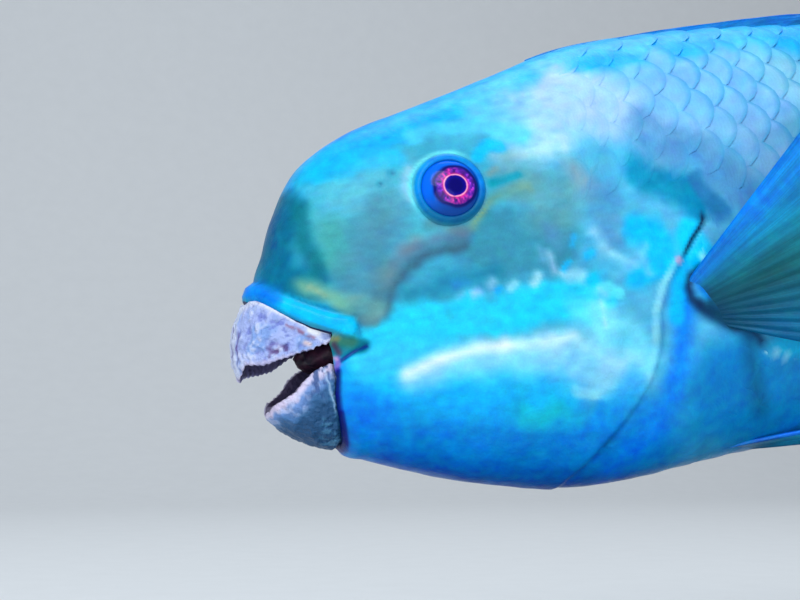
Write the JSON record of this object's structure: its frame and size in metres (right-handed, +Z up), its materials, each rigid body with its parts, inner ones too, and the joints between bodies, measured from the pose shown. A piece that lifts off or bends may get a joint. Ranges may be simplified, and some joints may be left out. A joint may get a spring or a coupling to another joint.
{
  "type": "parrotfish model on stand",
  "caption": "Life-size still model of a parrotfish with open beak, raised pectoral fins and low dorsal fin, held over a flat base by upright rods.",
  "frame": {"origin": "centre of the base's underside", "axes": "+X from the beak to the tail, +Z up, the fish's left side at -Y"},
  "size_m": [0.5811, 0.1906, 0.2918],
  "materials": {
    "head_skin": "satin painted skin, cyan to deep blue",
    "flank_skin": "satin painted scales, green-teal with salmon bars",
    "tail_skin": "satin painted scales, green",
    "beak": "rough, pitted, bone white to blue",
    "eye": "clear gloss over violet iris",
    "fin_blue": "satin",
    "fin_teal": "satin",
    "base_wood": "dark, oiled",
    "rod_steel": "satin"
  },
  "bodies": {
    "root": {"head": "head_skin", "torso": "flank_skin", "tail_stem": "tail_skin", "beak_upper": "beak", "beak_lower": "beak", "eye_left": "eye", "eye_right": "eye", "dorsal_fin": "fin_blue", "anal_fin": "fin_blue", "caudal_fin_upper": "fin_teal", "caudal_fin_lower": "fin_teal", "pectoral_fin_left": "fin_teal", "pectoral_fin_right": "fin_teal", "pelvic_fin_left": "fin_teal", "pelvic_fin_right": "fin_teal", "stand_base": "base_wood", "stand_rod_front": "rod_steel", "stand_rod_rear": "rod_steel"}
  },
  "joints": []
}
